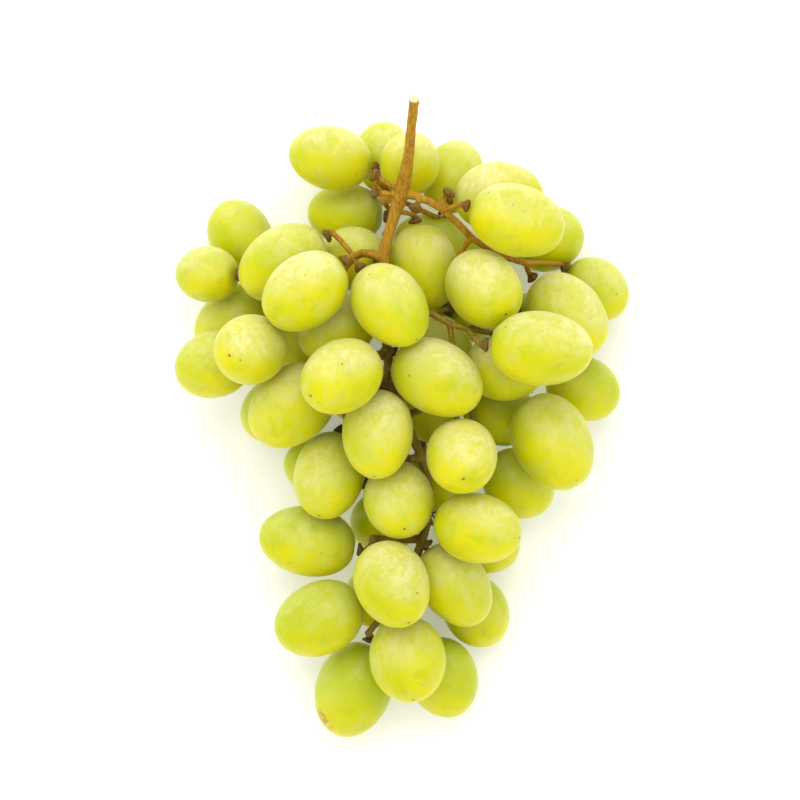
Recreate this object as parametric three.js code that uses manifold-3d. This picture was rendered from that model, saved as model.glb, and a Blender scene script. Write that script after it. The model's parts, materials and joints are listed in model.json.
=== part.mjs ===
import * as THREE from 'three';
import { mergeVertices } from 'three/addons/utils/BufferGeometryUtils.js';
import Module from 'manifold-3d';

// A bunch of green table grapes lying on its side, stalk end towards +Y, tail towards -Y.
// Sizes are millimetres. Every berry is a piece of its own; the branching stem is one piece,
// because peduncle, rachis, laterals and pedicels grow as one.

// Berries: turned about their long axis, a little fuller in the stem half.
const BERRY_SIDES = 12;
const BERRY_RINGS = 6;
const STEM_HALF_FULLNESS = 0.04;
const SKIN_GAP = 0.4;

// Pedicels, the fine stalks that carry one berry each, and the collars they end in.
const PEDICEL_RADIUS = 0.75;
const PEDICEL_SIDES = 5;
const PEDICEL_STEP = 3.6;
const PEDICEL_ROOM = 0.4;
const COLLAR_RADIUS = 1.9;
const COLLAR_LENGTH = 1.5;
const COLLAR_GAP = 0.35;

// Stalks: the peduncle with the rachis below it, and the laterals.
const STALK_SIDES = 6;
const TRIM_GAP = 0.3;
const STALK_STEP = 5.5;

// Packing: the berries start at their places and ease apart until no two press together.
const PACKING_ROUNDS = 360;
const PEDICELS_FROM_ROUND = 120;
const HOME_PULL = 0.02;

// Stalk points are x, y, z and radius.
const MAIN_STALK = [
  [4.4, 88, 54.2, 1.35],
  [3, 77, 50, 1.3],
  [2.5, 71, 47.5, 1.4],
  [1.5, 65, 44, 1.8],
  [0.5, 60.5, 41, 2.3],
  [-1, 56, 39.5, 1.7],
  [-2.5, 51, 38.5, 1.45],
  [-4.5, 43, 37, 1.7],
  [-4, 32, 35.5, 1.5],
  [-3.5, 19, 34, 1.3],
  [-2, 9, 32, 1.5],
  [1, 0, 30, 1.4],
  [6, -11, 27, 1.2],
  [8, -21, 24.5, 1.2],
  [6.5, -33, 23.5, 1.3],
  [2, -43, 23, 1.1],
  [-3, -52, 20, 1],
  [-9, -60, 17, 0.9],
];

// The peduncle is snipped across at a slant, so its cut face looks half upwards.
const CUT_POINT = [4, 84.4, 52.8];
const CUT_FACING = [0.05, 0.72, 0.69];

// Berry rows are x, y, z, width, length, heading of the blossom end (degrees from +X,
// anticlockwise seen from above) and its lift above the level.
const SPRIGS = [
  {
    name: 'crown',
    stalks: [
      [[0.5, 60.5, 41, 1.6], [-4, 58.5, 36, 1.2], [-5, 61, 28, 1.1], [-7, 64, 22, 1]],
    ],
    berries: [
      [-19, 71.5, 22, 18.2, 23.4, 168, -3],
      [-4.5, 72.5, 10, 17.6, 20.5, 95, -15],
      [2.5, 69.5, 26, 17, 19.5, 80, 55],
      [14.5, 65.5, 11, 18, 21, 75, -12],
      [-15, 57, 10, 17.4, 21.5, 176, -10],
      [-14.5, 42.5, 22, 18.2, 20.8, 172, -50],
    ],
  },
  {
    name: 'right_shoulder',
    stalks: [
      [
        [0.5, 60.5, 41, 1.4],
        [5.5, 59, 41.5, 1.05],
        [10.5, 56.5, 41, 0.95],
        [15.5, 52.5, 39, 0.9],
        [20.5, 47.5, 36.5, 0.9],
        [28.5, 43.5, 34, 0.85],
        [34, 42, 33, 0.8],
      ],
    ],
    berries: [
      [27, 60.5, 27, 19.4, 24.6, 3, -3],
      [31, 52, 47, 19.8, 26, -17, 5],
      [41, 50, 11, 19.2, 21.5, 12, -12],
      [54.5, 35.5, 14, 17.6, 20, -35, -15],
      [45.5, 28, 29, 20, 26, -48, 8],
      [22.5, 36.5, 39, 20.3, 24.5, -52, 42],
      [4.5, 40, 28.5, 19.2, 24, -80, 0],
      [11.5, 48.2, 10.5, 18.4, 25.6, -14, -8],
    ],
  },
  {
    name: 'right_wing',
    stalks: [
      [[-4, 32, 35.5, 1.2], [0, 31, 36.5, 1], [6, 29.5, 38, 0.9], [12, 26, 39, 0.9], [18, 24, 40.5, 0.85]],
    ],
    berries: [
      [36, 20.5, 51, 20.3, 27.4, -4, 4],
      [51, 8, 14, 18.7, 21.5, -20, -12],
      [12, 20.5, 22.5, 19, 22.4, -50, -8],
      [27.5, 13, 32, 18.6, 21.4, -10, -12],
      [37.5, 26, 10.5, 18.8, 21.6, -30, -50],
      [18, 30, 10.5, 18.2, 21.2, 0, -60],
    ],
  },
  {
    name: 'left_shoulder',
    stalks: [
      [
        [-4.5, 43, 37, 1.4],
        [-9.5, 44.5, 38.5, 1.1],
        [-13, 43, 38, 1.1],
        [-18, 36, 35, 1],
        [-27, 30, 28, 0.9],
        [-37, 34, 22.5, 0.85],
        [-42, 38.5, 20.5, 0.8],
      ],
    ],
    berries: [
      [-43, 50, 10.5, 18.4, 20.8, 120, -12],
      [-53, 39.5, 22, 15.8, 18.6, 178, -28],
      [-29, 42, 31, 20, 26.2, 212, -5],
      [-24, 32, 50, 20, 24.8, 218, 4],
      [-4, 29, 50, 19.3, 25, -52, 18],
      [-46, 27.5, 11, 18.2, 24.5, 214, -6],
      [-26, 42, 10.5, 18.4, 21.2, 150, -48],
    ],
  },
  {
    name: 'left_wing',
    stalks: [
      [[-27, 30, 28, 1], [-33, 25, 25, 1], [-38, 22.5, 24, 0.9]],
      [[-3.5, 19, 34, 1.2], [-8, 14, 34, 1.1], [-12, 12, 33, 1]],
    ],
    berries: [
      [-51, 14.5, 27, 19, 21.6, 195, -10],
      [-37.5, 17.5, 44, 19.4, 22.6, 200, 62],
      [-17, 23.5, 31, 18.6, 22, -150, 5],
      [-26.5, 17.5, 17, 18.2, 21.4, 200, -28],
    ],
  },
  {
    name: 'middle',
    stalks: [
      [[-2, 9, 32, 1.3], [-6, 7.5, 35, 1.1], [-10, 6.5, 37, 1.1], [-14, 2, 36, 1], [-14.5, -4, 32, 0.9]],
    ],
    berries: [
      [-15, 10.5, 54, 19.6, 24.8, 213, 40],
      [-27, 4.5, 33.5, 21.2, 26.4, 222, 4],
      [-34.5, 4, 10.5, 18.2, 21.5, 215, -38],
      [10, 11.5, 44, 20.2, 26.2, -30, 12],
      [0, 30.5, 10, 18.6, 21.6, 0, -30],
      [-11, 7.5, 10.5, 18.6, 21.6, 180, -40],
      [8, 0, 10, 18.6, 21.6, -70, -25],
    ],
  },
  {
    name: 'right_waist',
    stalks: [
      [
        [1, 0, 30, 1.2],
        [6, 2.5, 29, 1],
        [13, 4.5, 26, 0.95],
        [20, 7, 23.5, 0.9],
        [27, 8.5, 22, 0.85],
        [33, 8.5, 22, 0.8],
      ],
    ],
    berries: [
      [40, -4, 31, 21.8, 28, -62, 5],
      [31.5, -17.5, 12, 19, 21.8, -40, -18],
      [16.5, -10, 45, 19.6, 23, -88, 60],
      [27, -0.5, 16, 19, 22, -30, -28],
      [18.5, -29.5, 38, 19.6, 24.6, -12, 22],
      [14, -45.5, 26.5, 19, 25.2, -55, -4],
      [12.5, -18.5, 11.5, 18.4, 21.4, -60, -20],
      [21, -35.5, 10, 18.6, 21.8, -20, -10],
    ],
  },
  {
    name: 'left_waist',
    stalks: [
      [[6, -11, 27, 1.2], [1, -11, 30, 1], [-6, -10, 29, 0.9]],
    ],
    berries: [
      [-6, -2, 43.5, 19.4, 24.6, -94, 20],
      [-19, -15, 29.5, 20.2, 24.8, -103, 24],
      [-21.5, -14.5, 9.5, 17.6, 22.8, 162, -8],
      [1.5, -21, 33, 19.6, 22.8, -78, 48],
      [-4, -28.5, 10.5, 18.2, 21.4, 190, -45],
    ],
  },
  {
    name: 'tail',
    stalks: [
      [[6.5, -33, 23.5, 1.2], [0, -33.5, 24, 1], [-7, -33, 22, 0.9]],
    ],
    berries: [
      [-24.5, -34, 22, 20.2, 27.2, 170, 0],
      [0, -42.5, 37.5, 20.4, 25, -66, 28],
      [20.5, -50, 10.5, 18.6, 21.4, -60, -18],
      [-21, -52.5, 21, 20.8, 25.8, 205, -4],
      [2.5, -66, 28, 21.6, 24.2, -82, 30],
      [13.5, -70, 10.5, 19.8, 23.6, -72, -18],
      [-13, -76, 11, 22, 27.4, -108, -4],
      [-7, -51, 10.5, 18.4, 21.4, 210, -40],
    ],
  },
];

// Where berries have been picked or have dropped, a short pedicel is left with its collar.
// Each row is the foot on the stalk and the far end.
const EMPTY_PEDICELS = [
  [[-0.5, 61, 41], [-7.5, 65.5, 42]],
  [[-0.5, 60, 41], [-7.5, 60.5, 42]],
  [[5.5, 59, 41.5], [4, 55.5, 44]],
  [[10.5, 56.5, 41], [13.5, 61, 43]],
];

const BERRY_COLOUR = '#cfd23a';
const STEM_COLOUR = '#9a7436';

const wasm = await Module();
wasm.setup();
const { Manifold } = wasm;

function directionOf(headingDegrees, liftDegrees) {
  const heading = THREE.MathUtils.degToRad(headingDegrees);
  const lift = THREE.MathUtils.degToRad(liftDegrees);
  return new THREE.Vector3(
    Math.cos(heading) * Math.cos(lift),
    Math.sin(heading) * Math.cos(lift),
    Math.sin(lift),
  );
}

// A berry's skin about its own centre, blossom end along the given direction.
function berrySkin(width, length, direction) {
  const profile = [];
  for (let ring = 0; ring <= BERRY_RINGS + 1; ring += 1) {
    const angle = (Math.PI * ring) / (BERRY_RINGS + 1);
    const towardsStem = Math.cos(angle);
    const fullness = 1 + STEM_HALF_FULLNESS * towardsStem;
    const onAxis = ring === 0 || ring === BERRY_RINGS + 1;
    const radius = onAxis ? 0 : (width / 2) * Math.sin(angle) * fullness;
    profile.push(new THREE.Vector2(radius, (-length / 2) * towardsStem));
  }
  const skin = new THREE.LatheGeometry(profile, BERRY_SIDES);
  const turn = new THREE.Quaternion().setFromUnitVectors(new THREE.Vector3(0, 1, 0), direction);
  skin.applyQuaternion(turn);
  skin.computeBoundingBox();
  return skin;
}

// Balls strung along a berry's axis that fill it out to its skin.
function ballsInside(width, length) {
  const a = width / 2;
  const c = length / 2;
  const reach = Math.sqrt(c * c - a * a);
  const furthest = (reach * reach) / c;
  const balls = [];
  for (let step = -3; step <= 3; step += 1) {
    const along = (furthest * step) / 3;
    const fullness = 1 - (STEM_HALF_FULLNESS * along) / c;
    balls.push({ along, radius: a * Math.sqrt(1 - (along / reach) ** 2) * fullness });
  }
  return balls;
}

function makeBerry(name, sprig, row) {
  const [x, y, z, width, length, heading, lift] = row;
  const direction = directionOf(heading, lift);
  const skin = berrySkin(width, length, direction);
  return {
    name,
    sprig,
    width,
    length,
    direction,
    skin,
    home: new THREE.Vector3(x, y, z),
    centre: new THREE.Vector3(x, y, z),
    balls: ballsInside(width, length),
    depth: -skin.boundingBox.min.z,
    pedicel: [],
  };
}

// Points along a stalk, evenly spaced on a smooth curve, each with its radius.
function smoothStalk(points, spacing) {
  const curve = new THREE.CatmullRomCurve3(points.map(([x, y, z]) => new THREE.Vector3(x, y, z)));
  const count = Math.max(2, Math.ceil(curve.getLength() / spacing));
  const beads = [];
  for (let step = 0; step <= count; step += 1) {
    const t = step / count;
    const place = t * (points.length - 1);
    const before = Math.min(Math.floor(place), points.length - 2);
    const radius = THREE.MathUtils.lerp(points[before][3], points[before + 1][3], place - before);
    beads.push({ centre: curve.getPoint(t), radius });
  }
  return beads;
}

function ballCentre(berry, ball) {
  return berry.centre.clone().addScaledVector(berry.direction, ball.along);
}

// The deepest press of a berry against one ball outside it, or null when they are clear.
function pressAgainst(berry, centre, radius, gap) {
  if (berry.centre.distanceTo(centre) > berry.length / 2 + radius + gap) {
    return null;
  }
  let press = null;
  for (const ball of berry.balls) {
    const away = centre.clone().sub(ballCentre(berry, ball));
    const depth = ball.radius + radius + gap - away.length();
    if (depth > 0 && (press === null || depth > press.depth)) {
      press = { depth, away: away.normalize() };
    }
  }
  return press;
}

function pressBetween(first, second) {
  if (first.centre.distanceTo(second.centre) > (first.length + second.length) / 2 + SKIN_GAP) {
    return null;
  }
  let press = null;
  for (const ball of second.balls) {
    const found = pressAgainst(first, ballCentre(second, ball), ball.radius, SKIN_GAP);
    if (found !== null && (press === null || found.depth > press.depth)) {
      press = found;
    }
  }
  return press;
}

// The middle of the back of a berry's collar, and a point a little further out.
function behindCollar(berry, extra) {
  const distance = berry.length / 2 + COLLAR_GAP + COLLAR_LENGTH + extra;
  return berry.centre.clone().addScaledVector(berry.direction, -distance);
}

// A pedicel starts on the nearest part of its own stalks, as a straight string of points.
function hangPedicel(berry, stalkBeads) {
  const end = behindCollar(berry, 1);
  const wanted = behindCollar(berry, 3.5);
  let root = stalkBeads[0];
  for (const bead of stalkBeads) {
    if (bead.centre.distanceTo(wanted) < root.centre.distanceTo(wanted)) {
      root = bead;
    }
  }
  const count = Math.max(2, Math.round(root.centre.distanceTo(end) / PEDICEL_STEP));
  for (let step = 0; step < count; step += 1) {
    berry.pedicel.push(root.centre.clone().lerp(end, step / count));
  }
}

function easePedicel(berry, berries) {
  const points = [...berry.pedicel, behindCollar(berry, 1)];
  for (let index = 1; index < berry.pedicel.length; index += 1) {
    const point = berry.pedicel[index];
    const middle = points[index - 1].clone().add(points[index + 1]).multiplyScalar(0.5);
    point.lerp(middle, 0.3);
    for (const other of berries) {
      const press = pressAgainst(other, point, PEDICEL_RADIUS, PEDICEL_ROOM);
      if (press !== null) {
        point.addScaledVector(press.away, press.depth * 0.8);
        other.centre.addScaledVector(press.away, -press.depth * 0.05);
      }
    }
  }
}

function packBerries(berries, allBeads, beadsOfSprig) {
  for (let round = 0; round < PACKING_ROUNDS; round += 1) {
    const pull = HOME_PULL * (1 - round / PACKING_ROUNDS);
    if (round === PEDICELS_FROM_ROUND) {
      berries.forEach((berry) => hangPedicel(berry, beadsOfSprig[berry.sprig]));
    }
    for (const berry of berries) {
      berry.centre.lerp(berry.home, pull);
      berry.centre.z = Math.max(berry.centre.z, berry.depth);
    }
    for (let i = 0; i < berries.length; i += 1) {
      for (let j = i + 1; j < berries.length; j += 1) {
        const press = pressBetween(berries[i], berries[j]);
        if (press !== null) {
          berries[i].centre.addScaledVector(press.away, -press.depth * 0.4);
          berries[j].centre.addScaledVector(press.away, press.depth * 0.4);
        }
      }
      for (const bead of allBeads) {
        const press = pressAgainst(berries[i], bead.centre, bead.radius, SKIN_GAP);
        if (press !== null) {
          berries[i].centre.addScaledVector(press.away, -press.depth * 0.6);
        }
      }
    }
    if (round >= PEDICELS_FROM_ROUND) {
      berries.forEach((berry) => easePedicel(berry, berries));
    }
  }
}

// A closed round bar through the given beads, as a solid.
function solidBar(beads, sides) {
  const vertices = [];
  const triangles = [];
  const last = beads.length - 1;
  let side = new THREE.Vector3(0.3, 0.2, 1);
  beads.forEach((bead, index) => {
    const from = beads[Math.max(index - 1, 0)].centre;
    const to = beads[Math.min(index + 1, last)].centre;
    const along = to.clone().sub(from).normalize();
    side = side.clone().addScaledVector(along, -side.dot(along)).normalize();
    const across = along.clone().cross(side);
    for (let corner = 0; corner < sides; corner += 1) {
      const angle = (2 * Math.PI * corner) / sides;
      const point = bead.centre.clone();
      point.addScaledVector(side, Math.cos(angle) * bead.radius);
      point.addScaledVector(across, Math.sin(angle) * bead.radius);
      vertices.push(point.x, point.y, point.z);
    }
  });
  for (let index = 0; index < last; index += 1) {
    for (let corner = 0; corner < sides; corner += 1) {
      const next = (corner + 1) % sides;
      const a = index * sides + corner;
      const b = index * sides + next;
      triangles.push(a, b, b + sides, a, b + sides, a + sides);
    }
  }
  for (let corner = 1; corner < sides - 1; corner += 1) {
    const far = last * sides;
    triangles.push(0, corner + 1, corner);
    triangles.push(far, far + corner, far + corner + 1);
  }
  const mesh = new wasm.Mesh({
    numProp: 3,
    vertProperties: new Float32Array(vertices),
    triVerts: new Uint32Array(triangles),
  });
  return new Manifold(mesh);
}

// The last beads of a pedicel flare into its collar; the face lies against the berry.
function collarBeads(face, direction) {
  return [
    [COLLAR_LENGTH + 0.7, PEDICEL_RADIUS],
    [COLLAR_LENGTH * 0.35, COLLAR_RADIUS],
    [0, COLLAR_RADIUS * 0.85],
  ].map(([back, radius]) => ({
    centre: face.clone().addScaledVector(direction, -back),
    radius,
  }));
}

function pedicelSolid(berry) {
  const beads = berry.pedicel.map((centre) => ({ centre, radius: PEDICEL_RADIUS }));
  const faceDistance = berry.length / 2 + COLLAR_GAP;
  const face = berry.centre.clone().addScaledVector(berry.direction, -faceDistance);
  return solidBar([...beads, ...collarBeads(face, berry.direction)], PEDICEL_SIDES);
}

function emptyPedicel([foot, tip]) {
  const from = new THREE.Vector3(...foot);
  const to = new THREE.Vector3(...tip);
  const direction = to.clone().sub(from).normalize();
  const beads = [{ centre: from, radius: PEDICEL_RADIUS }, ...collarBeads(to, direction)];
  return solidBar(beads, PEDICEL_SIDES);
}

// A berry's skin as a solid in its place, grown by the gap kept around it.
function berryWithGap(berry) {
  const skin = berry.skin.clone();
  skin.deleteAttribute('normal');
  skin.deleteAttribute('uv');
  const grown = 1 + (2 * TRIM_GAP) / berry.width;
  skin.scale(grown, grown, grown);
  skin.translate(berry.centre.x, berry.centre.y, berry.centre.z);
  const merged = mergeVertices(skin, 0.001);
  const corners = [...merged.index.array];
  const triangles = [];
  for (let index = 0; index < corners.length; index += 3) {
    const [a, b, c] = corners.slice(index, index + 3);
    if (a !== b && b !== c && c !== a) {
      triangles.push(a, b, c);
    }
  }
  const mesh = new wasm.Mesh({
    numProp: 3,
    vertProperties: new Float32Array(merged.attributes.position.array),
    triVerts: new Uint32Array(triangles),
  });
  return new Manifold(mesh);
}

function cutAtPeduncle(stemSolid) {
  const facing = new THREE.Vector3(...CUT_FACING).normalize();
  const inward = facing.clone().negate();
  return stemSolid.trimByPlane(inward.toArray(), inward.dot(new THREE.Vector3(...CUT_POINT)));
}

// Where a stalk still presses on a berry it is flattened there, clear of the skin.
function trimToBerries(stemSolid, berries) {
  let trimmed = stemSolid;
  for (const berry of berries) {
    const room = berryWithGap(berry);
    if (trimmed.intersect(room).volume() > 0) {
      trimmed = trimmed.subtract(room);
    }
  }
  const pieces = trimmed.decompose();
  pieces.sort((first, second) => second.volume() - first.volume());
  return pieces[0];
}

function geometryOf(solid) {
  const { numProp, vertProperties, triVerts } = solid.getMesh();
  const positions = new Float32Array((vertProperties.length / numProp) * 3);
  for (let index = 0; index * numProp < vertProperties.length; index += 1) {
    positions[index * 3] = vertProperties[index * numProp];
    positions[index * 3 + 1] = vertProperties[index * numProp + 1];
    positions[index * 3 + 2] = vertProperties[index * numProp + 2];
  }
  const geometry = new THREE.BufferGeometry();
  geometry.setAttribute('position', new THREE.BufferAttribute(positions, 3));
  geometry.setIndex([...triVerts]);
  geometry.computeVertexNormals();
  return geometry;
}

function makeBunch() {
  const bunch = new THREE.Group();
  bunch.name = 'bunch_of_grapes';

  const mainBeads = smoothStalk(MAIN_STALK, STALK_STEP);
  const allBeads = [...mainBeads];
  const beadsOfSprig = {};
  const stalks = [mainBeads];
  const berries = [];
  for (const sprig of SPRIGS) {
    const ownStalks = sprig.stalks.map((points) => smoothStalk(points, STALK_STEP));
    stalks.push(...ownStalks);
    allBeads.push(...ownStalks.flat());
    beadsOfSprig[sprig.name] = [...ownStalks.flat(), ...mainBeads.slice(6)];
    sprig.berries.forEach((row, index) => {
      berries.push(makeBerry(`${sprig.name}_berry_${index + 1}`, sprig.name, row));
    });
  }
  packBerries(berries, allBeads, beadsOfSprig);

  const stemParts = stalks.map((beads) => solidBar(beads, STALK_SIDES));
  berries.forEach((berry) => stemParts.push(pedicelSolid(berry)));
  EMPTY_PEDICELS.forEach((row) => stemParts.push(emptyPedicel(row)));
  const stemSolid = trimToBerries(cutAtPeduncle(Manifold.union(stemParts)), berries);

  const stemMaterial = new THREE.MeshStandardMaterial({
    color: STEM_COLOUR,
    roughness: 0.7,
    metalness: 0,
  });
  const stem = new THREE.Mesh(geometryOf(stemSolid), stemMaterial);
  stem.name = 'stem';
  bunch.add(stem);

  for (const berry of berries) {
    const material = new THREE.MeshStandardMaterial({
      color: BERRY_COLOUR,
      roughness: 0.35,
      metalness: 0,
    });
    berry.skin.translate(berry.centre.x, berry.centre.y, berry.centre.z);
    const mesh = new THREE.Mesh(berry.skin, material);
    mesh.name = berry.name;
    bunch.add(mesh);
  }

  const box = new THREE.Box3().setFromObject(bunch);
  const middle = box.getCenter(new THREE.Vector3());
  bunch.position.set(-middle.x, -middle.y, -box.min.z);
  return bunch;
}

export default makeBunch();
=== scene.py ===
import json
import math
import random

import bmesh
import bpy
import numpy as np
from mathutils import Matrix, Vector, kdtree, noise

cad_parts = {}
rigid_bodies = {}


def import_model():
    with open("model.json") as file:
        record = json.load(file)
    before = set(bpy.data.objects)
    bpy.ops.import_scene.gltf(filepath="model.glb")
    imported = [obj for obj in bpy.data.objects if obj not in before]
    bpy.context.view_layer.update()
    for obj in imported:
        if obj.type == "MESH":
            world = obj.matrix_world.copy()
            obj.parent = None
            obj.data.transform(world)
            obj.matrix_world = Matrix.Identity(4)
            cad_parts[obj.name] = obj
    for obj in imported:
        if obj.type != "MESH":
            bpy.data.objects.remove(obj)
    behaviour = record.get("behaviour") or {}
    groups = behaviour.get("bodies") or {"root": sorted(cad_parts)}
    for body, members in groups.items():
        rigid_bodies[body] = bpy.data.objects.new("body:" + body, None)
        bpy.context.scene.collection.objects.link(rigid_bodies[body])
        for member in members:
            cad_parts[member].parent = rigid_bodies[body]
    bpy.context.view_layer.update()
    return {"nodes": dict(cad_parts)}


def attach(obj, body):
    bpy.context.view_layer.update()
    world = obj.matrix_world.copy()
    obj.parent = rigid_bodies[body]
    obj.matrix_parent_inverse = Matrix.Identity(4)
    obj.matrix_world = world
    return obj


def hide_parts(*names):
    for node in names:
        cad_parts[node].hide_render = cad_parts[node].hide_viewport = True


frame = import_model()
millimetre = 0.001
scene_objects = bpy.context.scene.collection.objects


# ---------------------------------------------------------------------------
# The berries: oval green table grapes with a thin translucent skin over juicy
# pulp. Each one swelled from a flower at the tip of its pedicel, keeps the
# blossom's scar at its far end, and lies where its neighbours leave room.
# ---------------------------------------------------------------------------
berry_nodes = sorted(name for name in frame["nodes"] if name != "stem")
rings_on_berry = 38
points_round_berry = 56
first_berry_seed = 100

# The shape of a skin. Lengths are millimetres, and waves are turns per millimetre.
width_kept = 0.995
blunt_ends = 0.97
stem_half_fuller = 0.04
out_of_round = 0.012
broad_waves = 0.11
fine_waves = 0.3
fine_wave_share = 0.35
wave_height = 0.16
skin_inset = 0.1
neck_dimple_depth = 0.55
neck_dimple_reach = 1.9
blossom_dimple_depth = 0.22
blossom_dimple_reach = 1.1

# Berries high in the bunch or near its stalk end get painted light, with lighter flesh and more
# pale bloom, and the sheltered ones get painted shade.
sheltered_height = 12
height_to_full_light = 30
shoulder_start = 10
shoulder_to_full_light = 90

# The middle of the one rusty blemish, on the lowest berry of the tail.
russet_spot = Vector((-20.5, -81.0, 14.0))

skin_marks = (
    "from_blossom",
    "from_neck",
    "sunny",
    "dusty",
    "ripeness",
    "outer",
    "russet",
    "bloom",
)


def node_points(name):
    """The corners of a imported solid, each once, in millimetres."""
    corners = frame["nodes"][name].data.vertices
    flat = np.empty(len(corners) * 3)
    corners.foreach_get("co", flat)
    return np.unique(np.round(flat.reshape(-1, 3) / millimetre, 3), axis=0)


stem_points = node_points("stem")


def berry_place(name):
    """Centre, direction of the blossom end, half length and half width, in millimetres."""
    points = node_points(name)
    middle = points.mean(axis=0)
    axis = np.linalg.svd(points - middle, full_matrices=False)[2][0]
    along = (points - middle) @ axis
    first, second = points[along.argmin()], points[along.argmax()]
    first_gap = np.linalg.norm(stem_points - first, axis=1).min()
    second_gap = np.linalg.norm(stem_points - second, axis=1).min()
    stem_end, blossom_end = (first, second) if first_gap < second_gap else (second, first)
    centre = (stem_end + blossom_end) / 2
    direction = blossom_end - stem_end
    half_length = np.linalg.norm(direction) / 2
    direction = direction / np.linalg.norm(direction)
    offset = points - centre
    sideways = offset - np.outer(offset @ direction, direction)
    half_width = np.linalg.norm(sideways, axis=1).max()
    return Vector(centre), Vector(direction), half_length, half_width


def skin_faces():
    """Quads between the rings of a skin, closed by a fan of triangles at each end."""
    faces = []
    last = 1 + (rings_on_berry - 1) * points_round_berry
    for step in range(points_round_berry):
        after = (step + 1) % points_round_berry
        faces.append((0, 1 + step, 1 + after))
        for ring in range(1, rings_on_berry - 1):
            row = 1 + (ring - 1) * points_round_berry
            below = row + points_round_berry
            faces.append((row + step, below + step, below + after, row + after))
        row = 1 + (rings_on_berry - 2) * points_round_berry
        faces.append((row + after, row + step, last))
    return faces


def grow_berry(name, order, place):
    """A smooth, slightly uneven berry, dimpled where its pedicel meets it."""
    dice = random.Random(first_berry_seed + order)
    centre, direction, half_length, half_width = place
    turn = direction.to_track_quat("Z", "Y").to_matrix()
    turn = turn @ Matrix.Rotation(dice.uniform(0, 2 * math.pi), 3, "Z")
    shift = Vector((dice.uniform(0, 90), dice.uniform(0, 90), dice.uniform(0, 90)))
    ripeness = dice.uniform(0, 1)
    bloom = dice.uniform(0.35, 1)
    oval = dice.uniform(-out_of_round, out_of_round)
    # The side of a berry away from the lamp gets a painted gold glow, standing in for light
    # passing through it.
    glow_way = Vector((dice.uniform(-0.4, 0.4), -0.8, dice.uniform(0.1, 0.6))).normalized()
    # The side of a berry towards the lamp gets a painted highlight in its bloom.
    highlight_way = Vector((dice.uniform(-0.45, 0.45), 1.0, dice.uniform(0.3, 0.9))).normalized()
    # Painted light and shade: how far this berry is painted as lit in the open rather than
    # sheltered.
    light = (centre.z - sheltered_height) / height_to_full_light
    light += max(0, centre.y - shoulder_start) / shoulder_to_full_light
    outer = max(0.0, min(1.0, light))
    shape = []
    grain = []
    marks = []
    for ring in range(rings_on_berry + 1):
        polar = math.pi * ring / rings_on_berry
        for step in range(points_round_berry):
            if ring in (0, rings_on_berry) and step > 0:
                continue
            around = 2 * math.pi * step / points_round_berry
            fullness = 1 - stem_half_fuller * math.cos(polar)
            radius = half_width * math.sin(polar) ** blunt_ends * fullness * width_kept
            x = radius * math.cos(around) * (1 + oval)
            y = radius * math.sin(around) * (1 - oval)
            z = half_length * math.cos(polar)
            outward = Vector((x / half_width**2, y / half_width**2, z / half_length**2))
            outward.normalize()
            uneven = noise.noise(Vector((x, y, z)) * broad_waves + shift)
            uneven += fine_wave_share * noise.noise(Vector((x, y, z)) * fine_waves + shift)
            point = Vector((x, y, z)) + outward * (wave_height * uneven - skin_inset)
            from_neck = math.hypot(radius, half_length + z)
            from_blossom = math.hypot(radius, half_length - z)
            point.z += neck_dimple_depth * math.exp(-((from_neck / neck_dimple_reach) ** 2))
            blossom_dip = math.exp(-((from_blossom / blossom_dimple_reach) ** 2))
            point.z -= blossom_dimple_depth * blossom_dip
            grown = centre + turn @ point
            facing = turn @ outward
            shape.append(grown * millimetre)
            grain.append(point + shift)
            marks.append(
                (
                    from_blossom,
                    from_neck,
                    facing.dot(glow_way),
                    facing.dot(highlight_way),
                    ripeness,
                    outer,
                    (grown - russet_spot).length,
                    bloom,
                )
            )
    mesh = bpy.data.meshes.new(name + "_skin")
    mesh.from_pydata(shape, [], skin_faces())
    mesh.shade_smooth()
    mesh.attributes.new("grain", "FLOAT_VECTOR", "POINT").data.foreach_set(
        "vector", np.array(grain, np.float32).ravel()
    )
    for label, values in zip(skin_marks, zip(*marks)):
        mesh.attributes.new(label, "FLOAT", "POINT").data.foreach_set("value", values)
    berry = bpy.data.objects.new(name + "_ripe", mesh)
    scene_objects.link(berry)
    return berry


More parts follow.
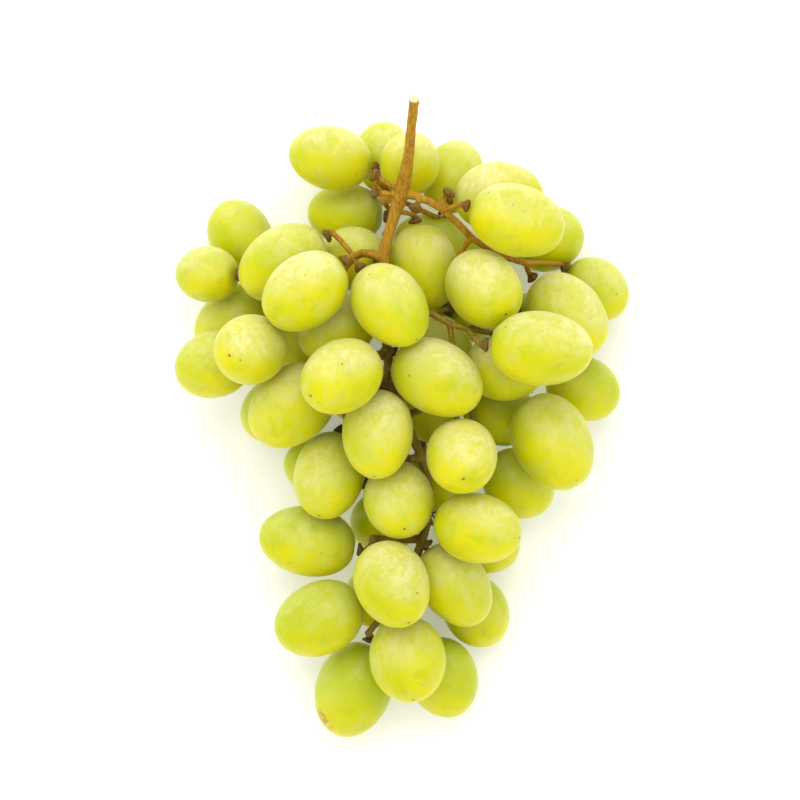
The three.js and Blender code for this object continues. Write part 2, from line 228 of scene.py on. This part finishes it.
def shader_kit(material):
    """Short hands for adding nodes to one material."""
    tree = material.node_tree
    tree.nodes.clear()

    def add(kind, **settings):
        node = tree.nodes.new(kind)
        for key, value in settings.items():
            setattr(node, key, value)
        return node

    def join(source, target):
        tree.links.new(source, target)

    def attribute(label, output="Fac"):
        return add("ShaderNodeAttribute", attribute_name=label).outputs[output]

    def sums(operation, first, second=None, third=None, clamp=False):
        node = add("ShaderNodeMath", operation=operation, use_clamp=clamp)
        for socket, value in zip(node.inputs, (first, second, third)):
            if value is None:
                continue
            if isinstance(value, (int, float)):
                socket.default_value = value
            else:
                join(value, socket)
        return node.outputs[0]

    def part_of(value, share):
        return sums("MULTIPLY", value, share)

    def between(value, low, high, to_low=0.0, to_high=1.0):
        """Eases from to_low to to_high while the value goes from low to high."""
        node = add("ShaderNodeMapRange", interpolation_type="SMOOTHSTEP", clamp=True)
        join(value, node.inputs[0])
        for socket, number in zip(list(node.inputs)[1:5], (low, high, to_low, to_high)):
            socket.default_value = number
        return node.outputs[0]

    def blend(amount, first, second):
        node = add("ShaderNodeMix", data_type="RGBA")
        join(amount, node.inputs[0])
        for socket, value in ((node.inputs[6], first), (node.inputs[7], second)):
            if isinstance(value, tuple):
                socket.default_value = (*value, 1)
            else:
                join(value, socket)
        return node.outputs[2]

    def stretched(where, scale):
        node = add("ShaderNodeMapping")
        join(where, node.inputs["Vector"])
        node.inputs["Scale"].default_value = scale
        return node.outputs[0]

    def mottle(where, scale, detail=2.0, roughness=0.5, distortion=0.0):
        node = add("ShaderNodeTexNoise")
        join(where, node.inputs["Vector"])
        node.inputs["Scale"].default_value = scale
        node.inputs["Detail"].default_value = detail
        node.inputs["Roughness"].default_value = roughness
        node.inputs["Distortion"].default_value = distortion
        return node.outputs[0]

    def specks(where, spacing, size, share):
        """Uneven dots about size across, in a share of the cells that far apart."""
        wander = add("ShaderNodeTexNoise")
        join(where, wander.inputs["Vector"])
        wander.inputs["Scale"].default_value = 0.9 / size
        nudge = add("ShaderNodeVectorMath", operation="MULTIPLY_ADD")
        join(wander.outputs["Color"], nudge.inputs[0])
        nudge.inputs[1].default_value = (size, size, size)
        join(where, nudge.inputs[2])
        node = add("ShaderNodeTexVoronoi")
        join(nudge.outputs[0], node.inputs["Vector"])
        node.inputs["Scale"].default_value = 1 / spacing
        split = add("ShaderNodeSeparateColor")
        join(node.outputs["Color"], split.inputs[0])
        chosen = sums("LESS_THAN", split.outputs[0], share)
        reach = sums("MULTIPLY", split.outputs[1], size / spacing)
        near = sums("SUBTRACT", reach, node.outputs["Distance"])
        spot = between(near, 0.0, 0.35 * size / spacing)
        return sums("MULTIPLY", spot, chosen)

    def bumped(height, strength, depth):
        node = add("ShaderNodeBump")
        node.inputs["Strength"].default_value = strength
        node.inputs["Distance"].default_value = depth
        join(height, node.inputs["Height"])
        return node.outputs[0]

    return add, join, attribute, sums, part_of, between, blend, stretched, mottle, specks, bumped


# The lit and shaded flesh colours are painted light and painted shade.
lit_green = (0.54, 0.565, 0.003)
lit_ripe = (0.62, 0.595, 0.003)
shaded_green = (0.46, 0.545, 0.002)
shaded_ripe = (0.53, 0.575, 0.002)
cloud_green = (0.43, 0.52, 0.003)
# The gold of a painted glow of light passing through the berry.
glow_gold = (0.73, 0.68, 0.001)
vein_pale = (0.62, 0.63, 0.05)
pulp_pale = (0.60, 0.61, 0.14)
pulp_green = (0.44, 0.50, 0.001)
# Pale cream of the waxy bloom, laid on partly as a painted highlight.
bloom_and_highlight_cream = (0.76, 0.725, 0.40)
freckle_brown = (0.27, 0.16, 0.02)
pinprick_brown = (0.27, 0.17, 0.02)
scuff_brown = (0.40, 0.31, 0.03)
rust_red = (0.40, 0.10, 0.02)
halo_tan = (0.62, 0.52, 0.08)
scar_brown = (0.17, 0.09, 0.03)
seat_olive = (0.44, 0.43, 0.05)

skin_material = bpy.data.materials.new("grape_skin")
skin_material.use_nodes = True
(add, join, attribute, sums, part_of, between, blend, stretched, mottle, specks, bumped) = (
    shader_kit(skin_material)
)
grain = attribute("grain", "Vector")
long_grain = stretched(grain, (1, 1, 0.16))
from_blossom = attribute("from_blossom")
outer = attribute("outer")

# The flesh that shows through the skin: greener or riper from berry to berry, painted lighter on
# berries in the open and painted darker as shade on sheltered ones, with a painted gold glow of
# light passing through on the side away from the lamp, and patchy within a berry.
ripeness = attribute("ripeness")
lit_flesh = blend(ripeness, lit_green, lit_ripe)
shaded_flesh = blend(ripeness, shaded_green, shaded_ripe)
flesh = blend(outer, shaded_flesh, lit_flesh)
clouds = between(mottle(grain, scale=0.085, distortion=0.4), 0.36, 0.66)
flesh = blend(part_of(clouds, 0.5), flesh, cloud_green)
clear_of_clouds = sums("MULTIPLY_ADD", clouds, -0.35, 0.85)
# Painted glow: gold on the side away from the lamp, less where the flesh is clouded.
painted_glow = sums("MULTIPLY", between(attribute("sunny"), -0.1, 0.95), clear_of_clouds)
flesh = blend(painted_glow, flesh, glow_gold)
veins = between(mottle(long_grain, scale=0.55, detail=3, roughness=0.6), 0.48, 0.72)
flesh = blend(part_of(veins, 0.2), flesh, vein_pale)
pale_patches = mottle(grain, scale=0.17, detail=2.5, roughness=0.55, distortion=0.5)
flesh = blend(part_of(between(pale_patches, 0.48, 0.68), 0.4), flesh, pulp_pale)
green_patches = mottle(grain, scale=0.22, detail=2.5, roughness=0.55, distortion=0.5)
flesh = blend(part_of(between(green_patches, 0.52, 0.72), 0.4), flesh, pulp_green)

# The waxy bloom: a pale coat in patches, dappled where it has been rubbed. It is also a
# painted highlight, laid on thickest on the side facing the lamp and more on berries in the
# open.
patches = between(mottle(grain, scale=0.12, detail=3, roughness=0.6, distortion=0.8), 0.38, 0.62)
dapple = between(mottle(grain, scale=0.42, detail=4, roughness=0.6, distortion=0.8), 0.34, 0.62)
powder = between(mottle(grain, scale=3.2, roughness=0.6), 0.3, 0.7, to_low=0.7, to_high=1)
cloudy = sums("MULTIPLY", sums("MULTIPLY_ADD", dapple, 0.5, 0.5), powder)
own_bloom = sums("MULTIPLY_ADD", attribute("bloom"), 0.35, 0.25)
thick = sums("MULTIPLY_ADD", patches, 0.45, own_bloom)
# Painted highlight: the pale coat goes on the side facing the lamp, and more on berries in the
# open.
highlighted_bloom = sums("MULTIPLY", between(attribute("dusty"), 0.1, 0.95), thick)
highlighted_bloom = sums("MULTIPLY", highlighted_bloom, sums("MULTIPLY_ADD", outer, 0.8, 0.25))
bloom_and_highlight_film = sums("MULTIPLY_ADD", highlighted_bloom, 0.95, part_of(patches, 0.03))
bloom_and_highlight_film = sums("MULTIPLY", bloom_and_highlight_film, cloudy)
colour = blend(bloom_and_highlight_film, flesh, bloom_and_highlight_cream)

# Freckles, pinpricks and rubbed scuffs, the rusty blemish, the scar of the blossom
# with its halo, and the duller seat round the pedicel.
freckles = specks(grain, spacing=3.9, size=0.42, share=0.45)
pinpricks = specks(grain, spacing=1.5, size=0.19, share=0.35)
scuffs = specks(long_grain, spacing=2.6, size=0.24, share=0.3)
colour = blend(part_of(freckles, 0.75), colour, freckle_brown)
colour = blend(part_of(pinpricks, 0.7), colour, pinprick_brown)
colour = blend(part_of(scuffs, 0.55), colour, scuff_brown)
crust = between(mottle(grain, scale=1.1, detail=3, roughness=0.6), 0.45, 0.55)
rusty = sums("MULTIPLY", between(attribute("russet"), 5.0, 2.0), crust)
colour = blend(part_of(rusty, 0.8), colour, rust_red)
scar = between(from_blossom, 0.5, 0.25)
halo = between(from_blossom, 2.0, 0.6)
colour = blend(part_of(halo, 0.25), colour, halo_tan)
colour = blend(part_of(scar, 0.85), colour, scar_brown)
seat = between(attribute("from_neck"), 4.0, 1.8)
colour = blend(part_of(seat, 0.5), colour, seat_olive)

dullness = sums("MULTIPLY_ADD", bloom_and_highlight_film, 0.3, 0.28)
dullness = sums("ADD", dullness, part_of(scar, 0.4), clamp=True)
relief = sums("MULTIPLY_ADD", dapple, 0.3, part_of(freckles, -0.5))
pores = mottle(grain, scale=2.4, detail=3, roughness=0.6)
relief = sums("ADD", relief, part_of(pores, 0.35))

skin = add("ShaderNodeBsdfPrincipled")
skin.inputs["Subsurface Weight"].default_value = 1.0
skin.inputs["Subsurface Radius"].default_value = (1.0, 0.95, 0.1)
skin.inputs["Subsurface Scale"].default_value = 0.011
skin.inputs["IOR"].default_value = 1.42
skin.inputs["Specular IOR Level"].default_value = 0.25
skin.inputs["Sheen Weight"].default_value = 0.24
skin.inputs["Sheen Roughness"].default_value = 0.25
skin.inputs["Sheen Tint"].default_value = (1.0, 0.98, 0.6, 1.0)
join(colour, skin.inputs["Base Color"])
join(dullness, skin.inputs["Roughness"])
join(bumped(relief, strength=0.22, depth=0.06 * millimetre), skin.inputs["Normal"])
result = add("ShaderNodeOutputMaterial")
join(skin.outputs[0], result.inputs["Surface"])

# A seat is the stem end of a berry, with the way back along the pedicel.
berry_seats = []
for order, node_name in enumerate(berry_nodes):
    place = berry_place(node_name)
    berry = grow_berry(node_name, order, place)
    berry.data.materials.append(skin_material)
    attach(berry, "root")
    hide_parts(node_name)
    centre, direction, half_length, half_width = place
    berry_seats.append((centre - direction * half_length, -direction))


# ---------------------------------------------------------------------------
# The stem: one half-woody growth, from the cut end of the peduncle down the
# rachis and out along the laterals to the pedicels. A pedicel flares into a
# warty collar that grips its berry.
# ---------------------------------------------------------------------------

# Collars left bare where a berry has been picked or has dropped: tip, then foot.
bare_collars = (
    ((-8.5, 67.4, 42.0), (-1.5, 62.9, 41.0)),
    ((-8.5, 62.4, 42.0), (-1.5, 61.9, 41.0)),
    ((3.0, 57.4, 44.0), (4.5, 60.9, 41.5)),
    ((12.5, 62.9, 43.0), (9.5, 58.4, 41.0)),
)
warts_round_collar = 9
wart_seed = 7
weld_distance = 0.01
voxel = 0.34
softening_rounds = 3

# How far from a seat the bark is still a collar's, and over how much of that it fades.
collar_reach = 3.2
collar_fade = 1.2

# The bark swells out by a steady amount, by broad and fine waves, and more on a collar.
steady_swell = 0.1
broad_swell = 0.12
fine_swell = 0.04
collar_swell = 0.12

for tip, foot in bare_collars:
    berry_seats.append((Vector(tip), (Vector(foot) - Vector(tip)).normalized()))
rough_stem = bmesh.new()
rough_stem.from_mesh(frame["nodes"]["stem"].data)
bmesh.ops.remove_doubles(
    rough_stem, verts=rough_stem.verts, dist=weld_distance * millimetre
)

# Every seat gets a ring of warts. At the four berries whose collar the solid stem lacks,
# the warts have nothing to grow on and stand loose.
dice = random.Random(wart_seed)
for seat, back in berry_seats:
    turn = back.to_track_quat("Z", "Y").to_matrix()
    for wart in range(warts_round_collar):
        angle = 2 * math.pi * (wart + dice.uniform(-0.3, 0.3)) / warts_round_collar
        out = dice.uniform(1.35, 1.75)
        up = dice.uniform(0.6, 1.15)
        spot = seat + turn @ Vector((out * math.cos(angle), out * math.sin(angle), up))
        bmesh.ops.create_icosphere(
            rough_stem,
            subdivisions=2,
            radius=dice.uniform(0.3, 0.5) * millimetre,
            matrix=Matrix.Translation(spot * millimetre),
        )
stem_mesh = bpy.data.meshes.new("stem_skin")
rough_stem.to_mesh(stem_mesh)
rough_stem.free()
stem = bpy.data.objects.new("grown_stem", stem_mesh)
scene_objects.link(stem)
remesh = stem.modifiers.new("one_growth", "REMESH")
remesh.mode = "VOXEL"
remesh.voxel_size = voxel * millimetre
soften = stem.modifiers.new("soften", "SMOOTH")
soften.factor = 0.5
soften.iterations = softening_rounds
bpy.context.view_layer.update()
finished = bpy.data.meshes.new_from_object(
    stem.evaluated_get(bpy.context.evaluated_depsgraph_get())
)
stem.modifiers.clear()
stem.data = finished
finished.shade_smooth()

seats = kdtree.KDTree(len(berry_seats))
for index, (seat, back) in enumerate(berry_seats):
    seats.insert(seat, index)
seats.balance()
count = len(finished.vertices)
places = np.empty(count * 3)
finished.vertices.foreach_get("co", places)
places = places.reshape(-1, 3) / millimetre
normals = np.array([vertex.normal for vertex in finished.vertices])
near_collar = np.zeros(count, np.float32)
moved = places.copy()
for index in range(count):
    point = Vector(places[index])
    gap = seats.find(point)[2]
    near_collar[index] = max(0.0, min(1.0, (collar_reach - gap) / collar_fade))
    swell = noise.noise(point * 0.35) * broad_swell + noise.noise(point * 1.4) * fine_swell
    swell += near_collar[index] * noise.noise(point * 2.6) * collar_swell
    moved[index] = places[index] + normals[index] * (steady_swell + swell)
finished.vertices.foreach_set("co", (moved * millimetre).astype(np.float32).ravel())

# The way the slanted cut of the peduncle faces, and how far along it the cut lies.
cut_facing = np.array(Vector((0.05, 0.72, 0.69)).normalized())
cut_level = (stem_points @ cut_facing).max()
top_of_stalk = stem_points[:, 1].max()
for label, values in (
    ("near_collar", near_collar),
    ("from_cut", (cut_level - places @ cut_facing).astype(np.float32)),
    ("down_bunch", (top_of_stalk - places[:, 1]).astype(np.float32)),
):
    finished.attributes.new(label, "FLOAT", "POINT").data.foreach_set("value", values)
finished.attributes.new("grain", "FLOAT_VECTOR", "POINT").data.foreach_set(
    "vector", places.astype(np.float32).ravel()
)

stalk_green = (0.30, 0.22, 0.015)
stalk_green_dark = (0.15, 0.095, 0.008)
stalk_gold = (0.50, 0.25, 0.008)
stalk_gold_dark = (0.27, 0.12, 0.004)
bark_tan = (0.46, 0.30, 0.02)
bark_speck = (0.10, 0.05, 0.01)
collar_brown = (0.12, 0.07, 0.012)
fresh_cut = (0.80, 0.68, 0.40)

bark_material = bpy.data.materials.new("stem_bark")
bark_material.use_nodes = True
(add, join, attribute, sums, part_of, between, blend, stretched, mottle, specks, bumped) = (
    shader_kit(bark_material)
)
grain = attribute("grain", "Vector")
long_grain = stretched(grain, (1, 0.09, 1))
streaks = between(mottle(long_grain, scale=1.6, detail=4, roughness=0.6), 0.35, 0.68)
clouds = between(mottle(grain, scale=0.35, detail=3, roughness=0.55), 0.35, 0.65)
woody = between(attribute("down_bunch"), 62, 42)
green_stalk = blend(streaks, stalk_green, stalk_green_dark)
gold_stalk = blend(streaks, stalk_gold, stalk_gold_dark)
bark = blend(woody, green_stalk, gold_stalk)
bark = blend(part_of(clouds, 0.3), bark, bark_tan)
bark = blend(specks(grain, spacing=1.3, size=0.3, share=0.5), bark, bark_speck)
bark = blend(part_of(attribute("near_collar"), 0.8), bark, collar_brown)
bark = blend(between(attribute("from_cut"), 0.55, 0.3), bark, fresh_cut)
ridges = sums("ADD", streaks, mottle(grain, scale=3.0, detail=3, roughness=0.6))

wood = add("ShaderNodeBsdfPrincipled")
wood.inputs["Subsurface Weight"].default_value = 0.15
wood.inputs["Subsurface Radius"].default_value = (1.0, 0.5, 0.2)
wood.inputs["Subsurface Scale"].default_value = 0.0008
wood.inputs["Specular IOR Level"].default_value = 0.25
join(bark, wood.inputs["Base Color"])
join(sums("MULTIPLY_ADD", clouds, 0.2, 0.45), wood.inputs["Roughness"])
join(bumped(ridges, strength=0.4, depth=0.08 * millimetre), wood.inputs["Normal"])
result = add("ShaderNodeOutputMaterial")
join(wood.outputs[0], result.inputs["Surface"])
stem.data.materials.clear()
stem.data.materials.append(bark_material)
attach(stem, "root")
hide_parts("stem")


# ---------------------------------------------------------------------------
# The surface the bunch lies on: a plain white board, wider than the view. It
# glows faintly, in place of the light a bright studio would throw on it.
# ---------------------------------------------------------------------------
board_reach = 1.5
board_glow = 0.22
board_mesh = bpy.data.meshes.new("white_board")
board_mesh.from_pydata(
    [
        (-board_reach, -board_reach, 0),
        (board_reach, -board_reach, 0),
        (board_reach, board_reach, 0),
        (-board_reach, board_reach, 0),
    ],
    [],
    [(0, 1, 2, 3)],
)
board = bpy.data.objects.new("white_board", board_mesh)
scene_objects.link(board)
board_material = bpy.data.materials.new("white_board")
board_material.use_nodes = True
paper = board_material.node_tree.nodes["Principled BSDF"]
paper.inputs["Base Color"].default_value = (0.93, 0.925, 0.91, 1)
paper.inputs["Roughness"].default_value = 0.8
paper.inputs["Specular IOR Level"].default_value = 0.1
paper.inputs["Emission Color"].default_value = (1, 1, 1, 1)
paper.inputs["Emission Strength"].default_value = board_glow
board_mesh.materials.append(board_material)


# ---------------------------------------------------------------------------
# Light and camera: a bright white tent all round, a large soft lamp above the
# stalk end, and a camera looking straight down on the bunch.
# ---------------------------------------------------------------------------
tent_brightness = 0.95
lamp_place = Vector((-0.05, 0.36, 0.66))
lamp_aim = Vector((0, 0, 0.02))
lamp_width = 0.5
lamp_watts = 2.4
film_width = 36
view_half_width = 0.108
view_distance = 0.7

tent = bpy.data.worlds.new("white_tent")
tent.use_nodes = True
tent_cloth = tent.node_tree.nodes["Background"]
tent_cloth.inputs["Color"].default_value = (1.0, 0.995, 0.98, 1)
tent_cloth.inputs["Strength"].default_value = tent_brightness
bpy.context.scene.world = tent

lamp = bpy.data.lights.new("large_soft_lamp", "AREA")
lamp.shape = "SQUARE"
lamp.size = lamp_width
lamp.energy = lamp_watts
lamp_holder = bpy.data.objects.new("large_soft_lamp", lamp)
lamp_holder.location = lamp_place
lamp_holder.rotation_mode = "QUATERNION"
lamp_holder.rotation_quaternion = (lamp_aim - lamp_place).to_track_quat("-Z", "Y")
scene_objects.link(lamp_holder)

half_view = math.atan(view_half_width / view_distance)
camera_data = bpy.data.cameras.new("camera")
camera_data.sensor_width = film_width
camera_data.lens = film_width / 2 / math.tan(half_view)
camera_data.clip_start = 0.01
camera = bpy.data.objects.new("camera", camera_data)
camera.location = (-0.0009, 0.0068, 0.735)
scene_objects.link(camera)
bpy.context.scene.camera = camera
bpy.context.scene.view_settings.view_transform = "Standard"
bpy.context.scene.view_settings.look = "None"
